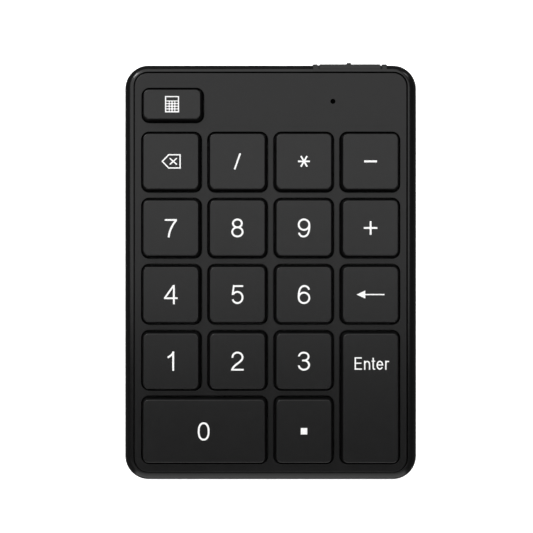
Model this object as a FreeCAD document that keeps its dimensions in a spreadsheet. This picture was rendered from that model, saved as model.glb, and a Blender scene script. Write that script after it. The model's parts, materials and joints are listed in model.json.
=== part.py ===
import FreeCAD, Part
import math
import os

import Sketcher
from FreeCAD import Placement, Rotation, Vector

# Wedge-shaped numeric keypad. Most pieces are drawn in the deck's own frame: x to the right,
# v up the sloping deck towards the rear, w out of the deck, with w = 0 on the deck's top face.
# The row frame has the table at z = 0 and the deck tilted up towards the rear (+Y).

DIMENSIONS = [
    # case
    ("case_width", 84.4),
    ("case_length", 120.0),
    ("case_corner", 6.8),
    ("case_depth", 24.0),
    ("deck_tilt", 4.5),
    ("deck_height", 12.6),
    ("origin_shift", -0.843),
    ("foot_height", 0.8),
    ("floor_thick", 1.2),
    ("rim_round", 2.8),
    ("base_round", 1.0),
    ("rib_thick", 1.0),
    ("rib_drop", 0.85),
    ("rib_front", -48.6),
    ("rib_rear", 37.2),
    # deck cover
    ("cover_width", 78.5),
    ("cover_length", 114.9),
    ("cover_corner", 4.0),
    ("cover_thick", 1.5),
    ("cover_skirt", 2.5),
    ("cover_wall", 1.2),
    ("cover_edge", 0.32),
    ("seam", 0.2),
    ("seam_shift", 0.12),
    ("rest_length", 2.0),
    ("rest_reach", 0.9),
    ("rest_depth", 3.0),
    # key layout
    ("key_pitch", 19.0),
    ("row_tools", 31.7),
    ("row_bottom", -45.3),
    ("well_size", 17.37),
    ("well_corner", 2.25),
    ("well_tall", 19.6),
    ("enter_offset", -35.9),
    ("enter_length", 38.5),
    ("zero_width", 36.4),
    ("app_offset_x", -28.15),
    ("app_offset_v", 48.0),
    ("app_width", 17.86),
    ("app_length", 10.0),
    # keycaps
    ("cap_gap", 0.28),
    ("cap_top", 2.2),
    ("cap_skirt", 0.6),
    ("cap_draft", 10.7),
    ("cap_thick", 1.0),
    ("cap_wall", 1.1),
    ("cap_corner", 1.6),
    ("cap_edge", 0.3),
    ("stem_depth", 2.5),
    ("stem_round", 2.5),
    ("hook_reach", 3.1),
    ("hook_width", 1.3),
    ("hook_thick", 0.45),
    # key guide
    ("guide_top", 2.8),
    ("guide_thick", 0.8),
    ("bore_round", 2.62),
    ("chimney_round", 3.3),
    ("chimney_rise", 1.6),
    ("slot_width", 1.6),
    ("slot_rise", 1.65),
    ("slot_ends", 0.6),
    ("stake_round", 0.7),
    ("stake_length", 2.35),
    ("stake_head", 1.1),
    ("stake_head_thick", 0.2),
    # layers under the keys
    ("sheet_depth", 5.1),
    ("sheet_thick", 0.3),
    ("dome_round", 3.4),
    ("dome_rise", 2.25),
    ("dome_draft", 40.2),
    ("dome_wall", 0.4),
    ("button_round", 0.8),
    ("button_gap", 0.2),
    ("film_thick", 0.1),
    ("film_hole", 2.5),
    ("plate_thick", 0.5),
    ("layer_half_width", 38.1),
    ("layer_front", 56.6),
    ("layer_rear", 40.2),
    ("layer_app_right", 18.6),
    ("layer_app_rear", 54.4),
    ("layer_corner", 3.0),
    ("tail_front", 44.0),
    ("tail_rear", 51.5),
    ("tail_reach", 3.4),
    # stabiliser wires
    ("wire_round", 0.35),
    ("wire_bend", 0.8),
    ("wire_half", 13.0),
    ("wire_stub", 2.2),
    ("wire_offset", 5.6),
    ("wire_arm", 6.0),
    ("wire_low", 1.9),
    ("wire_high", 0.1),
    ("wire_slack", 0.1),
    ("clip_slack", 0.45),
    ("bearing_half", 14.2),
    ("bearing_thick", 1.0),
    ("bearing_length", 2.2),
    ("bearing_rise", 1.5),
    ("bearing_hole", 0.42),
    ("clip_half", 9.0),
    ("clip_width", 3.0),
    ("clip_thick", 0.6),
    ("clip_drop", 1.8),
    # screws
    ("screw_round", 0.8),
    ("screw_hole", 0.95),
    ("screw_head", 1.5),
    ("screw_head_thick", 1.0),
    ("screw_seat", 7.3),
    ("screw_reach", 5.4),
    ("cross_reach", 0.9),
    ("cross_half", 0.17),
    ("cross_depth", 0.5),
    ("pilot_round", 0.82),
    ("pilot_end", 1.6),
    ("counterbore", 1.75),
    ("post_round", 1.6),
    ("post_depth", 4.2),
    ("post_hole", 1.9),
    ("tower_round", 2.0),
    ("tower_hole", 2.3),
    ("tower_base", 2.8),
    ("tower_step", 6.4),
    ("pcb_head", 1.4),
    ("pcb_head_thick", 0.8),
    # circuit board
    ("board_top", 2.6),
    ("board_thick", 0.8),
    ("board_left", -18.4),
    ("board_right", 38.4),
    ("board_front", 41.0),
    ("board_rear", 56.8),
    ("board_corner", 3.5),
    ("board_left_corner", 2.0),
    ("board_screw_left", -16.6),
    ("board_screw_right", 35.4),
    ("board_screw_v", 54.2),
    ("board_screw_deep", 4.6),
    ("board_pilot_deep", 5.0),
    ("socket_width", 3.4),
    ("socket_margin", 0.5),
    ("chip_left", -4.0),
    ("chip_front", 48.0),
    ("chip_side", 5.0),
    ("chip_thick", 0.8),
    ("can_left", 4.0),
    ("can_front", 49.0),
    ("can_length", 3.2),
    ("can_width", 2.5),
    ("can_thick", 0.7),
    ("lamp_x", 17.9),
    ("lamp_v", 49.2),
    ("lamp_round", 0.7),
    ("led_length", 1.6),
    ("led_width", 0.8),
    ("led_thick", 0.55),
    ("pipe_foot", 1.95),
    ("pipe_top", 0.7),
    # battery bay
    ("cell_round", 5.25),
    ("cell_body", 43.7),
    ("cell_nub_round", 1.9),
    ("cell_nub", 0.8),
    ("cell_edge", 0.4),
    ("contact_slack", 0.05),
    ("leaf_thick", 0.3),
    ("leaf_width", 6.0),
    ("leaf_half", 3.6),
    ("leaf_kink", 1.6),
    ("plate_side", 7.0),
    ("plate_gauge", 0.35),
    ("plate_corner", 1.0),
    ("cell_start", -8.5),
    ("cell_y", 47.2),
    ("cell_z", 7.5),
    ("bay_left", -13.4),
    ("bay_right", 36.6),
    ("bay_wall", 1.0),
    ("bay_front", 41.7),
    ("bay_rear", 52.7),
    ("bay_side_wall", 0.8),
    ("bay_low_top", 12.3),
    ("bay_high_top", 13.2),
    ("hatch_front", 41.9),
    ("hatch_rear", 52.5),
    ("hatch_gap", 0.15),
    ("door_thick", 1.1),
    ("tab_spread", 16.0),
    ("tab_width", 5.0),
    ("tab_reach", 1.5),
    ("tab_root", 0.9),
    ("tab_step", 0.2),
    ("tab_low", 0.75),
    ("tab_high", 1.35),
    ("window_slack", 0.2),
    ("window_height", 1.4),
    ("grip_width", 9.0),
    ("grip_bar", 0.4),
    ("grip_pitch", 0.9),
    ("grip_inset", 2.2),
    ("grip_depth", 0.25),
    ("tongue_half", 3.4),
    ("tongue_slit", 0.5),
    ("tongue_length", 4.2),
    ("tongue_inset", 2.0),
    # power switch
    ("switch_x", 22.8),
    ("boss_width", 21.2),
    ("boss_inset", 0.1),
    ("boss_root", 2.8),
    ("boss_depth", 9.5),
    ("boss_edge", 0.3),
    ("notch_width", 18.6),
    ("notch_depth", 7.0),
    ("notch_floor", 58.5),
    ("bezel_slack", 0.05),
    ("bezel_thick", 1.35),
    ("bezel_height", 6.95),
    ("bezel_edge", 0.2),
    ("bezel_groove", 0.55),
    ("groove_depth", 1.6),
    ("opening_width", 9.8),
    ("opening_height", 2.8),
    ("slot_half", 5.4),
    ("slot_high", 1.6),
    ("slot_root", 4.0),
    ("switch_w", -4.8),
    ("switch_front", 53.55),
    ("switch_rear", 56.8),
    ("switch_half", 4.5),
    ("switch_thick", 2.9),
    ("lever_half", 0.7),
    ("lever_high", 0.5),
    ("lever_reach", 0.6),
    ("knob_width", 5.5),
    ("knob_skin", 0.06),
    ("knob_edge", 0.2),
    ("knob_proud", 0.7),
    ("knob_shoulder", 1.5),
    ("knob_high", 1.3),
    ("ridge_half", 0.6),
    ("ridge_proud", 0.4),
    ("stem_half", 2.4),
    ("stem_high", 1.1),
    ("flange_half", 3.0),
    ("flange_high", 1.45),
    ("flange_depth", 0.9),
    ("flange_slack", 0.1),
    ("fork_half", 0.8),
    ("fork_high", 0.6),
    ("fork_reach", 0.8),
    # feet
    ("foot_length", 14.0),
    ("foot_width", 4.4),
    ("foot_recess", 0.3),
    ("foot_slack", 0.1),
    ("foot_edge", 0.25),
    ("foot_x", 29.0),
    ("foot_front", -54.0),
    ("foot_rear", 57.2),
]

document = FreeCAD.newDocument("numeric_keypad")
sheet = document.addObject("Spreadsheet::Sheet", "dims")
for line, (alias, value) in enumerate(DIMENSIONS, start=1):
    sheet.set("A%d" % line, alias)
    sheet.set("B%d" % line, str(value))
    sheet.setAlias("B%d" % line, alias)
document.recompute()

TILT = "dims.deck_tilt * 1 deg"
parts = []


def size(alias):
    """Read one driving dimension from the sheet."""
    return float(sheet.get(alias))


def number(item, expression):
    """The present value of an expression over the sheet."""
    found = item.evalExpression(expression)
    return float(getattr(found, "Value", found))


# ---------------------------------------------------------------- placing


def place_on_deck(item, x="0", v="0", w="0"):
    """Put an object drawn in the deck frame at deck point (x, v, w), tilted with the deck."""
    item.Placement = Placement(Vector(), Rotation(Vector(1, 0, 0), 1))
    item.setExpression("Placement.Base.x", x)
    item.setExpression(
        "Placement.Base.y", "(%s) * cos(%s) - (%s) * sin(%s) + dims.origin_shift" % (v, TILT, w, TILT)
    )
    item.setExpression(
        "Placement.Base.z", "dims.deck_height + (%s) * sin(%s) + (%s) * cos(%s)" % (v, TILT, w, TILT)
    )
    item.setExpression("Placement.Rotation.Angle", TILT)
    return item


def place_in_row(item, x="0", y="0", z="0"):
    """Put an object at a point given over the table, square to it."""
    item.setExpression("Placement.Base.x", x)
    item.setExpression("Placement.Base.y", "(%s) + dims.origin_shift" % y)
    item.setExpression("Placement.Base.z", z)
    return item


def name_part(item, label):
    """Mark a finished object as a sub-part of the keypad."""
    item.Label = label
    parts.append(item)
    return item


# ---------------------------------------------------------------- primitives and booleans


def box(name, length, width, height):
    item = document.addObject("Part::Box", name)
    item.setExpression("Length", length)
    item.setExpression("Width", width)
    item.setExpression("Height", height)
    return item


def deck_box(name, x, v, w):
    """A box in the deck frame between the (low, high) limits of x, v and w."""
    item = box(name, *["(%s) - (%s)" % (high, low) for low, high in (x, v, w)])
    return place_on_deck(item, x[0], v[0], w[0])


def row_box(name, x, y, z):
    """A box square to the table between the (low, high) limits of x, y and z."""
    item = box(name, *["(%s) - (%s)" % (high, low) for low, high in (x, y, z)])
    return place_in_row(item, x[0], y[0], z[0])


def deck_cylinder(name, x, v, low, high, radius):
    """A cylinder square to the deck at (x, v), from w = low to w = high."""
    item = document.addObject("Part::Cylinder", name)
    item.setExpression("Radius", radius)
    item.setExpression("Height", "(%s) - (%s)" % (high, low))
    return place_on_deck(item, x, v, low)


def fuse(name, items):
    item = document.addObject("Part::MultiFuse", name)
    item.Shapes = items
    return item


def cut(name, base, tool):
    item = document.addObject("Part::Cut", name)
    item.Base = base
    item.Tool = tool
    return item


def common(name, base, tool):
    item = document.addObject("Part::Common", name)
    item.Base = base
    item.Tool = tool
    return item


# ---------------------------------------------------------------- sketches


def new_body(name):
    return document.addObject("PartDesign::Body", name)


def new_sketch(body, name, offset="0", plane="XY_Plane"):
    """A sketch on one of the body's own origin planes, moved along its normal by offset."""
    sketch = body.newObject("Sketcher::SketchObject", name)
    support = [f for f in body.Origin.OriginFeatures if f.Role == plane][0]
    sketch.AttachmentSupport = [(support, "")]
    sketch.MapMode = "FlatFace"
    sketch.setExpression("AttachmentOffset.Base.z", offset)
    return sketch


def pin(sketch, kind, start, end, expression):
    """Bind one sketch distance to an expression over the sheet."""
    value = number(sketch, expression)
    if abs(value) < 1e-9:
        axis = -2 if kind == "DistanceX" else -1
        sketch.addConstraint(Sketcher.Constraint("PointOnObject", end[0], end[1], axis))
        return
    at = sketch.addConstraint(Sketcher.Constraint(kind, start[0], start[1], end[0], end[1], value))
    sketch.setExpression("Constraints[%d]" % at, expression)


def add_circle(sketch, x, y, radius):
    centre = Vector(number(sketch, x), number(sketch, y), 0)
    curve = sketch.addGeometry(Part.Circle(centre, Vector(0, 0, 1), number(sketch, radius)))
    pin(sketch, "DistanceX", (-1, 1), (curve, 3), x)
    pin(sketch, "DistanceY", (-1, 1), (curve, 3), y)
    at = sketch.addConstraint(Sketcher.Constraint("Radius", curve, number(sketch, radius)))
    sketch.setExpression("Constraints[%d]" % at, radius)


def add_polygon(sketch, corners):
    """A closed outline whose corners are pairs of expressions."""
    points = [Vector(number(sketch, x), number(sketch, y), 0) for x, y in corners]
    count = len(points)
    edges = [
        sketch.addGeometry(Part.LineSegment(points[i], points[(i + 1) % count])) for i in range(count)
    ]
    for i, edge in enumerate(edges):
        sketch.addConstraint(Sketcher.Constraint("Coincident", edge, 2, edges[(i + 1) % count], 1))
    for edge, (x, y) in zip(edges, corners):
        pin(sketch, "DistanceX", (-1, 1), (edge, 1), x)
        pin(sketch, "DistanceY", (-1, 1), (edge, 1), y)


def add_rectangle(sketch, x, y, width, length):
    """A rectangle centred on (x, y)."""
    left, right = "(%s) - (%s) / 2" % (x, width), "(%s) + (%s) / 2" % (x, width)
    low, high = "(%s) - (%s) / 2" % (y, length), "(%s) + (%s) / 2" % (y, length)
    add_polygon(sketch, [(left, low), (right, low), (right, high), (left, high)])


# ---------------------------------------------------------------- body features


def pad(body, sketch, length, down=False, draft=None, middle=False):
    item = body.newObject("PartDesign::Pad", sketch.Name + "_pad")
    item.Profile = sketch
    item.setExpression("Length", length)
    item.Reversed = down
    item.Midplane = middle
    if draft:
        item.setExpression("TaperAngle", "-(%s)" % draft)
    body.Tip = item
    document.recompute()
    return item


def pocket(body, sketch, length, up=False, draft=None, middle=False):
    """Cut the sketch into the body and check that material really went."""
    before = body.Shape.Volume
    item = body.newObject("PartDesign::Pocket", sketch.Name + "_pocket")
    item.Profile = sketch
    item.setExpression("Length", length)
    item.Reversed = up
    item.Midplane = middle
    if draft:
        item.setExpression("TaperAngle", "-(%s)" % draft)
    body.Tip = item
    document.recompute()
    if not item.Shape.Volume < before - 1e-6:
        raise RuntimeError("%s cuts nothing" % item.Name)
    return item


def round_edges(body, name, radius, wanted):
    """Round every edge of the body's present shape for which wanted(edge) is true."""
    base = body.Tip
    names = ["Edge%d" % n for n, edge in enumerate(base.Shape.Edges, start=1) if wanted(edge)]
    item = body.newObject("PartDesign::Fillet", name)
    item.Base = (base, names)
    item.setExpression("Radius", radius)
    body.Tip = item
    document.recompute()
    return item


def upright(edge, least=0.2):
    """True for an edge that climbs from one level to another."""
    return edge.BoundBox.ZLength > least


def level(height, tolerance=1e-4):
    """A test for edges that lie wholly at one height."""

    def wanted(edge):
        bounds = edge.BoundBox
        return abs(bounds.ZMin - height) < tolerance and abs(bounds.ZMax - height) < tolerance

    return wanted


def rounded_slab(body, name, width, length, corner, low, height, draft=None):
    """The first pad of a body: a centred rectangle with rounded corners."""
    sketch = new_sketch(body, name, low)
    add_rectangle(sketch, "0", "0", width, length)
    pad(body, sketch, height, draft=draft)
    return round_edges(body, name + "_corners", corner, upright)


# ---------------------------------------------------------------- key layout

COLUMN = ["%s * dims.key_pitch" % step for step in (-1.5, -0.5, 0.5, 1.5)]
ROW = ["dims.row_tools - %d * dims.key_pitch" % step for step in range(4)]
WELL = "dims.well_size"

# name, x, v, well width, well length
KEYS = [
    ("key_calculator", "dims.app_offset_x", "dims.app_offset_v", "dims.app_width", "dims.app_length"),
    ("key_backspace", COLUMN[0], ROW[0], WELL, WELL),
    ("key_divide", COLUMN[1], ROW[0], WELL, WELL),
    ("key_multiply", COLUMN[2], ROW[0], WELL, WELL),
    ("key_minus", COLUMN[3], ROW[0], WELL, WELL),
    ("key_7", COLUMN[0], ROW[1], WELL, WELL),
    ("key_8", COLUMN[1], ROW[1], WELL, WELL),
    ("key_9", COLUMN[2], ROW[1], WELL, WELL),
    ("key_plus", COLUMN[3], ROW[1], WELL, WELL),
    ("key_4", COLUMN[0], ROW[2], WELL, WELL),
    ("key_5", COLUMN[1], ROW[2], WELL, WELL),
    ("key_6", COLUMN[2], ROW[2], WELL, WELL),
    ("key_arrow", COLUMN[3], ROW[2], WELL, WELL),
    ("key_1", COLUMN[0], ROW[3], WELL, WELL),
    ("key_2", COLUMN[1], ROW[3], WELL, WELL),
    ("key_3", COLUMN[2], ROW[3], WELL, WELL),
    ("key_enter", COLUMN[3], "dims.enter_offset", WELL, "dims.enter_length"),
    ("key_0", "-dims.key_pitch", "dims.row_bottom", "dims.zero_width", "dims.well_tall"),
    ("key_decimal", COLUMN[2], "dims.row_bottom", WELL, "dims.well_tall"),
]
PLACE = {name: (x, v) for name, x, v, _, _ in KEYS}

# lines midway between rows of keys, where posts and stakes have room
BETWEEN = ["dims.row_tools - %s * dims.key_pitch" % step for step in (0.5, 1.5, 2.5)]
FRONT_GAP = "(%s - dims.well_size / 2 + dims.row_bottom + dims.well_tall / 2) / 2" % ROW[3]
SCREWS = [
    ("-dims.key_pitch", BETWEEN[0]),
    ("dims.key_pitch", BETWEEN[0]),
    ("-dims.key_pitch", BETWEEN[2]),
    ("dims.key_pitch", BETWEEN[2]),
    ("0", FRONT_GAP),
]
STAKES = [
    ("0", BETWEEN[0]),
    ("0", BETWEEN[2]),
    ("-dims.key_pitch", BETWEEN[1]),
    ("dims.key_pitch", BETWEEN[1]),
    ("-dims.layer_half_width + 2.1", BETWEEN[0]),
    ("dims.layer_half_width - 2.1", BETWEEN[0]),
    ("-dims.key_pitch", FRONT_GAP),
    ("dims.key_pitch", FRONT_GAP),
]
BEZEL_FACE = "dims.notch_floor + dims.bezel_slack + dims.bezel_thick"
HATCH_LEFT, HATCH_RIGHT = "dims.bay_left + 0.1", "dims.bay_right - 0.1"
HATCH_MIDDLE = "(dims.bay_left + dims.bay_right) / 2"
TABS = ["%s - dims.tab_spread" % HATCH_MIDDLE, "%s + dims.tab_spread" % HATCH_MIDDLE]
BOARD_SCREWS = [
    ("dims.board_screw_left", "dims.board_screw_v"),
    ("dims.board_screw_right", "dims.board_screw_v"),
]


def around_switch(half):
    """The (low, high) limits of x for something centred on the power switch."""
    return ("dims.switch_x - %s" % half, "dims.switch_x + %s" % half)


def at_switch(half):
    """The (low, high) limits of w for something centred on the power switch."""
    return ("dims.switch_w - %s" % half, "dims.switch_w + %s" % half)


# ---------------------------------------------------------------- keycaps


def keycap(name, x, v, well_width, well_length):
    """A hollow drafted cap with a guide stem, two retaining hooks and, if long, wire clips."""
    body = new_body(name)
    gap = "2 * dims.cap_gap"
    width, length = "%s - %s" % (well_width, gap), "%s - %s" % (well_length, gap)
    rounded_slab(
        body,
        name + "_outside",
        width,
        length,
        "dims.cap_corner",
        "-dims.cap_skirt",
        "dims.cap_top + dims.cap_skirt",
        draft="dims.cap_draft",
    )
    round_edges(body, name + "_edge", "dims.cap_edge", level(size("cap_top")))

    hollow = new_sketch(body, name + "_hollow", "-dims.cap_skirt")
    wall = "2 * dims.cap_wall"
    add_rectangle(hollow, "0", "0", "%s - %s" % (width, wall), "%s - %s" % (length, wall))
    pocket(body, hollow, "dims.cap_top + dims.cap_skirt - dims.cap_thick", up=True)

    ceiling = "dims.cap_top - dims.cap_thick"
    stem = new_sketch(body, name + "_stem", ceiling)
    add_circle(stem, "0", "0", "dims.stem_round")
    pad(body, stem, "%s + dims.stem_depth" % ceiling, down=True)

    hooks = new_sketch(body, name + "_hooks", "-dims.stem_depth")
    add_rectangle(hooks, "0", "0", "2 * dims.hook_reach", "dims.hook_width")
    pad(body, hooks, "dims.hook_thick")

    if name in ("key_enter", "key_0"):
        along_v = name == "key_enter"
        clips = new_sketch(body, name + "_clips", ceiling)
        near = "-(dims.wire_offset - dims.wire_round - dims.wire_slack - dims.clip_thick / 2)"
        far = "-(dims.wire_offset + dims.wire_round + dims.clip_slack + dims.clip_thick / 2)"
        for side in ("-dims.clip_half", "dims.clip_half"):
            for across in (near, far):
                spot = (across, side) if along_v else (side, across)
                foot = ("dims.clip_thick", "dims.clip_width")
                add_rectangle(clips, *spot, *(foot if along_v else foot[::-1]))
        pad(body, clips, "dims.clip_drop", down=True)

    place_on_deck(body, x, v)
    return name_part(body, name)


# ---------------------------------------------------------------- deck cover


def top_cover():
    """The deck plate with its wells, a short skirt, and screw posts that reach down between keys."""
    body = new_body("top_cover")
    rounded_slab(
        body,
        "cover_plate",
        "dims.cover_width",
        "dims.cover_length",
        "dims.cover_corner",
        "-dims.cover_skirt",
        "dims.cover_skirt",
    )
    round_edges(body, "cover_rim", "dims.cover_edge", level(0))

    hollow = new_sketch(body, "cover_hollow", "-dims.cover_skirt")
    wall = "2 * dims.cover_wall"
    add_rectangle(hollow, "0", "0", "dims.cover_width - %s" % wall, "dims.cover_length - %s" % wall)
    pocket(body, hollow, "dims.cover_skirt - dims.cover_thick", up=True)

    wells = new_sketch(body, "cover_wells")
    for _, x, v, width, length in KEYS:
        add_rectangle(wells, x, v, width, length)
    pocket(body, wells, "dims.cover_thick + 1")
    half = [size(side) / 2 - size("cover_wall") for side in ("cover_width", "cover_length")]
    well_tops = level(0)

    def within(edge):
        return abs(edge.CenterOfMass.x) < half[0] and abs(edge.CenterOfMass.y) < half[1]

    def through(edge):
        return within(edge) and abs(edge.BoundBox.ZLength - size("cover_thick")) < 1e-4

    round_edges(body, "well_corners", "dims.well_corner", through)
    round_edges(body, "well_lips", "dims.cover_edge / 2", lambda e: well_tops(e) and within(e))

    posts = new_sketch(body, "cover_posts", "-dims.cover_thick + 0.2")
    for x, v in SCREWS:
        add_circle(posts, x, v, "dims.post_round")
    pad(body, posts, "dims.post_depth - dims.cover_thick + 0.2", down=True)
    pilots = new_sketch(body, "cover_pilots", "-dims.post_depth")
    for x, v in SCREWS:
        add_circle(pilots, x, v, "dims.pilot_round")
    pocket(body, pilots, "dims.post_depth - dims.pilot_end", up=True)

    lamp = new_sketch(body, "cover_lamp")
    add_circle(lamp, "dims.lamp_x", "dims.lamp_v", "dims.lamp_round + 0.03")
    pocket(body, lamp, "dims.cover_thick + 1")
    place_on_deck(body)
    return name_part(body, "top_cover")


# ---------------------------------------------------------------- layers under the keys


def layer(name, low, thick, holes, tail=False):
    """A flat layer with the outline of the key field and its app-key corner, and round holes."""
    body = new_body(name)
    outline = new_sketch(body, name + "_outline", low)
    side = "dims.layer_half_width"
    add_polygon(
        outline,
        [
            ("-" + side, "-dims.layer_front"),
            (side, "-dims.layer_front"),
            (side, "dims.layer_rear"),
            ("-dims.layer_app_right", "dims.layer_rear"),
            ("-dims.layer_app_right", "dims.layer_app_rear"),
            ("-" + side, "dims.layer_app_rear"),
        ],
    )
    pad(body, outline, thick)
    least = number(body, thick) / 2
    round_edges(body, name + "_corners", "dims.layer_corner", lambda e: upright(e, least))
    if tail:
        strip = new_sketch(body, name + "_tail", low)
        left = "-dims.layer_app_right - 1"
        right = "-dims.layer_app_right + dims.tail_reach"
        corners = [(left, "dims.tail_front"), (right, "dims.tail_front")]
        corners += [(right, "dims.tail_rear"), (left, "dims.tail_rear")]
        add_polygon(strip, corners)
        pad(body, strip, thick)
    cuts = new_sketch(body, name + "_holes", low)
    for x, v, radius in holes:
        add_circle(cuts, x, v, radius)
    pocket(body, cuts, thick, up=True)
    return body


def tower_holes():
    return [(x, v, "dims.tower_hole") for x, v in SCREWS]


def stake_holes():
    return [(x, v, "dims.stake_round + 0.1") for x, v in STAKES]


def key_guide_plate():
    """The plate with a slotted chimney for each key's stem, stakes below and wire bearings on top."""
    holes = [(x, v, "dims.post_hole") for x, v in SCREWS]
    body = layer("guide_body", "-dims.guide_top - dims.guide_thick", "dims.guide_thick", holes)

    chimneys = new_sketch(body, "chimneys", "-dims.guide_top")
    for x, v in PLACE.values():
        add_circle(chimneys, x, v, "dims.chimney_round")
    pad(body, chimneys, "dims.chimney_rise")
    bores = new_sketch(body, "bores", "-dims.guide_top - dims.guide_thick")
    for x, v in PLACE.values():
        add_circle(bores, x, v, "dims.bore_round")
    pocket(body, bores, "dims.guide_thick + dims.chimney_rise", up=True)
    slots = new_sketch(body, "hook_slots", "-dims.guide_top - dims.guide_thick")
    for x, v in PLACE.values():
        add_rectangle(slots, x, v, "2 * dims.chimney_round + dims.slot_ends", "dims.slot_width")
    pocket(body, slots, "dims.slot_rise", up=True)

    stakes = new_sketch(body, "stakes", "-dims.guide_top - dims.guide_thick")
    for x, v in STAKES:
        add_circle(stakes, x, v, "dims.stake_round")
    pad(body, stakes, "dims.stake_length", down=True)
    heads = new_sketch(body, "stake_heads", "-dims.guide_top - dims.guide_thick - dims.stake_length")
    for x, v in STAKES:
        add_circle(heads, x, v, "dims.stake_head")
    pad(body, heads, "dims.stake_head_thick", down=True)

    bearings = new_sketch(body, "bearings", "-dims.guide_top")
    across = "dims.wire_arm - dims.wire_offset"
    block = ("dims.bearing_thick", "dims.bearing_length")
    for side in ("-dims.bearing_half", "dims.bearing_half"):
        x, v = PLACE["key_0"]
        add_rectangle(bearings, "%s + %s" % (x, side), "%s + %s" % (v, across), *block)
        x, v = PLACE["key_enter"]
        add_rectangle(bearings, "%s + %s" % (x, across), "%s + %s" % (v, side), *block[::-1])
    pad(body, bearings, "dims.bearing_rise")

    holes = []
    reach = "2 * dims.bearing_thick"
    for key, along_v in (("key_0", False), ("key_enter", True)):
        x, v = PLACE[key]
        for number_of, side in enumerate(("-dims.bearing_half", "dims.bearing_half")):
            hole = document.addObject("Part::Cylinder", "%s_bearing_%d" % (key, number_of))
            hole.setExpression("Radius", "dims.bearing_hole")
            hole.setExpression("Height", reach)
            low = "%s - %s / 2" % (side, reach)
            if along_v:
                hole.Placement = Placement(Vector(), Rotation(Vector(1, 0, 0), -90))
                hole.setExpression("Placement.Base.x", "%s + %s" % (x, across))
                hole.setExpression("Placement.Base.y", "%s + %s" % (v, low))
            else:
                hole.Placement = Placement(Vector(), Rotation(Vector(0, 1, 0), 90))
                hole.setExpression("Placement.Base.x", "%s + %s" % (x, low))
                hole.setExpression("Placement.Base.y", "%s + %s" % (v, across))
            hole.setExpression("Placement.Base.z", "-dims.wire_low")
            holes.append(hole)
    plate = cut("key_guide_plate", body, fuse("bearing_holes", holes))
    place_on_deck(plate)
    return name_part(plate, "key_guide_plate")


def dome_sheet():
    """A silicone sheet with one hollow dome under every key, each with a contact button inside."""
    body = layer(
        "dome_sheet", "-dims.sheet_depth", "dims.sheet_thick", tower_holes() + stake_holes()
    )
    top = "-dims.sheet_depth + dims.sheet_thick"
    domes = new_sketch(body, "domes", top)
    for x, v in PLACE.values():
        add_circle(domes, x, v, "dims.dome_round")
    pad(body, domes, "dims.dome_rise", draft="dims.dome_draft")
    hollows = new_sketch(body, "dome_hollows", "-dims.sheet_depth")
    for x, v in PLACE.values():
        add_circle(hollows, x, v, "dims.dome_round - dims.dome_wall")
    rise = "dims.sheet_thick + dims.dome_rise - dims.dome_wall"
    pocket(body, hollows, rise, up=True, draft="dims.dome_draft")
    buttons = new_sketch(body, "dome_buttons", "-dims.sheet_depth + %s + 0.1" % rise)
    for x, v in PLACE.values():
        add_circle(buttons, x, v, "dims.button_round")
    pad(body, buttons, "%s + 0.1 - dims.button_gap" % rise, down=True)
    place_on_deck(body)
    return name_part(body, "dome_sheet")


def membranes_and_plate():
    """Three printed films and the steel plate that backs them."""
    film = "dims.film_thick"
    spacer = [(x, v, "dims.film_hole") for x, v in PLACE.values()]
    fixings = tower_holes() + stake_holes()
    films = [("membrane_upper", [], False), ("membrane_spacer", spacer, False)]
    films.append(("membrane_lower", [], True))
    for step, (name, holes, tail) in enumerate(films, start=1):
        body = layer(name, "-dims.sheet_depth - %d * %s" % (step, film), film, holes + fixings, tail)
        place_on_deck(body)
        name_part(body, name)
    low = "-dims.sheet_depth - %d * %s - dims.plate_thick" % (len(films), film)
    plate = layer("support_plate", low, "dims.plate_thick", fixings)
    place_on_deck(plate)
    name_part(plate, "support_plate")


# ---------------------------------------------------------------- stabiliser wires


def bent_wire(corners, bend, radius):
    """A round wire along straight runs joined by tangent arcs, checked against its length."""
    edges = []
    start = corners[0]
    for before, corner, after in zip(corners, corners[1:], corners[2:]):
        inward, outward = (before - corner).normalize(), (after - corner).normalize()
        half = inward.getAngle(outward) / 2
        back = bend / math.tan(half)
        middle = (inward + outward).normalize() * (bend / math.sin(half) - bend)
        first, last = corner + inward * back, corner + outward * back
        edges.append(Part.LineSegment(start, first).toShape())
        edges.append(Part.Arc(first, corner + middle, last).toShape())
        start = last
    edges.append(Part.LineSegment(start, corners[-1]).toShape())
    path = Part.Wire(edges)
    section = Part.Wire([Part.Circle(corners[0], corners[1] - corners[0], radius).toShape()])
    wire = path.makePipeShell([section], True, True)
    expected = path.Length * math.pi * radius**2
    if abs(wire.Volume - expected) > 0.01 * expected:
        raise RuntimeError("wire volume %.3f, expected %.3f" % (wire.Volume, expected))
    return wire


def stabiliser(name, key, along_v):
    """A U of spring wire: the long bar sits in the cap's clips, the stubs turn in the bearings."""
    half, stub = size("wire_half"), size("wire_half") + size("wire_stub")
    near, far = size("wire_arm") - size("wire_offset"), -size("wire_offset")
    low, high = -size("wire_low"), -size("wire_high")
    corners = [
        (stub, near, low),
        (half, near, low),
        (half, far, high),
        (-half, far, high),
        (-half, near, low),
        (-stub, near, low),
    ]
    if along_v:
        corners = [(across, along, w) for along, across, w in corners]
    wire = document.addObject("Part::Feature", name)
    wire.Shape = bent_wire([Vector(*c) for c in corners], size("wire_bend"), size("wire_round"))
    x, v = PLACE[key]
    place_on_deck(wire, x, v)
    return name_part(wire, name)


# ---------------------------------------------------------------- bottom case


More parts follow.
